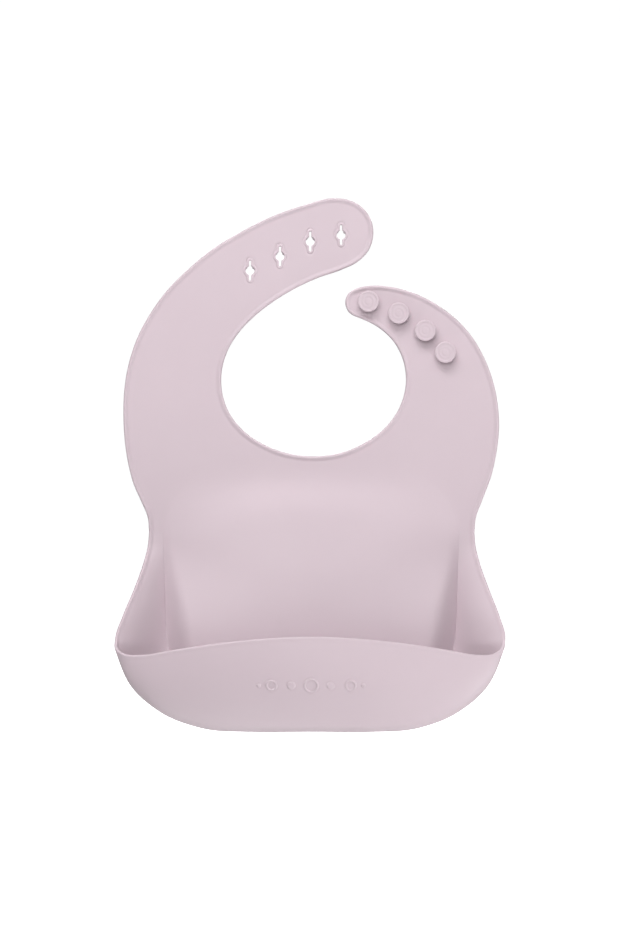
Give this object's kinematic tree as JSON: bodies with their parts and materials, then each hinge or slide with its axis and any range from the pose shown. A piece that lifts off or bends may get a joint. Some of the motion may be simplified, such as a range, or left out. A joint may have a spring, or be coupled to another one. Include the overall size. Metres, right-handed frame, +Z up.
{
  "type": "silicone bib",
  "caption": "Soft moulded bib: neck ring with a keyhole strap and a stud strap, bulged chest panel, and a deep scoop pocket with a rolled lip along the bottom.",
  "frame": {"origin": "middle of the neck opening, in the mid-plane of the sheet", "axes": "+Z up as worn, +X to the right seen from the front (the stud strap's side), the front of the bib faces -Y"},
  "size_m": [0.2212, 0.0483, 0.3037],
  "materials": {
    "silicone": "matte"
  },
  "bodies": {
    "neck_ring": {"neck_collar": "silicone"},
    "chest": {"chest_panel": "silicone", "belly_panel": "silicone"},
    "pocket": {"pocket_front_wall": "silicone", "pocket_right_gusset": "silicone", "pocket_left_gusset": "silicone"},
    "hole_strap_1": {"hole_strap_base": "silicone"},
    "hole_strap_2": {"hole_strap_middle": "silicone"},
    "hole_strap_3": {"hole_strap_end": "silicone"},
    "hole_strap_4": {"hole_strap_tip": "silicone"},
    "stud_strap_1": {"stud_strap_base": "silicone", "stud_4": "silicone"},
    "stud_strap_2": {"stud_strap_middle": "silicone", "stud_3": "silicone", "stud_2": "silicone"},
    "stud_strap_3": {"stud_strap_tip": "silicone", "stud_1": "silicone"}
  },
  "joints": [
    {"name": "chest_fold", "type": "hinge", "parent": "neck_ring", "child": "chest", "pos_m": [0, 0, -0.051], "axis": [-1, 0, 0], "range_deg": [-20, 75], "stiffness_Nm_per_rad": 0.03},
    {"name": "pocket_open", "type": "hinge", "parent": "chest", "child": "pocket", "pos_m": [0, 0, -0.192], "axis": [1, 0, 0], "range_deg": [-10, 20], "stiffness_Nm_per_rad": 0.15, "springref_deg": -3.44},
    {"name": "hole_strap_bend_1", "type": "hinge", "parent": "neck_ring", "child": "hole_strap_1", "pos_m": [0, 0, 0], "axis": [-0.9994, 0, 0.0349], "range_deg": [-30, 35], "stiffness_Nm_per_rad": 0.04},
    {"name": "hole_strap_bend_2", "type": "hinge", "parent": "hole_strap_1", "child": "hole_strap_2", "pos_m": [0, 0, 0], "axis": [-0.848, 0, 0.5299], "range_deg": [-30, 35], "stiffness_Nm_per_rad": 0.03},
    {"name": "hole_strap_bend_3", "type": "hinge", "parent": "hole_strap_2", "child": "hole_strap_3", "pos_m": [-0.026, 0, 0.065], "axis": [-0.4226, 0, 0.9063], "range_deg": [-30, 35], "stiffness_Nm_per_rad": 0.02},
    {"name": "hole_strap_bend_4", "type": "hinge", "parent": "hole_strap_3", "child": "hole_strap_4", "pos_m": [0.008, 0, 0.0795], "axis": [-0.1392, 0, 0.9903], "range_deg": [-30, 35], "stiffness_Nm_per_rad": 0.02},
    {"name": "stud_strap_bend_1", "type": "hinge", "parent": "neck_ring", "child": "stud_strap_1", "pos_m": [0, 0, 0], "axis": [-0.9781, 0, 0.2079], "range_deg": [-30, 35], "stiffness_Nm_per_rad": 0.04},
    {"name": "stud_strap_bend_2", "type": "hinge", "parent": "stud_strap_1", "child": "stud_strap_2", "pos_m": [0.071, 0, 0.021], "axis": [-0.7373, 0, -0.6756], "range_deg": [-30, 35], "stiffness_Nm_per_rad": 0.02},
    {"name": "stud_strap_bend_3", "type": "hinge", "parent": "stud_strap_2", "child": "stud_strap_3", "pos_m": [0.0415, 0, 0.0405], "axis": [-0.3665, 0, -0.9304], "range_deg": [-30, 35], "stiffness_Nm_per_rad": 0.02}
  ],
  "couplings": [
    {"joint": "hole_strap_bend_2", "follows": "hole_strap_bend_1", "ratio": 1},
    {"joint": "hole_strap_bend_3", "follows": "hole_strap_bend_1", "ratio": 1},
    {"joint": "hole_strap_bend_4", "follows": "hole_strap_bend_1", "ratio": 1},
    {"joint": "stud_strap_bend_2", "follows": "stud_strap_bend_1", "ratio": 1},
    {"joint": "stud_strap_bend_3", "follows": "stud_strap_bend_1", "ratio": 1}
  ]
}
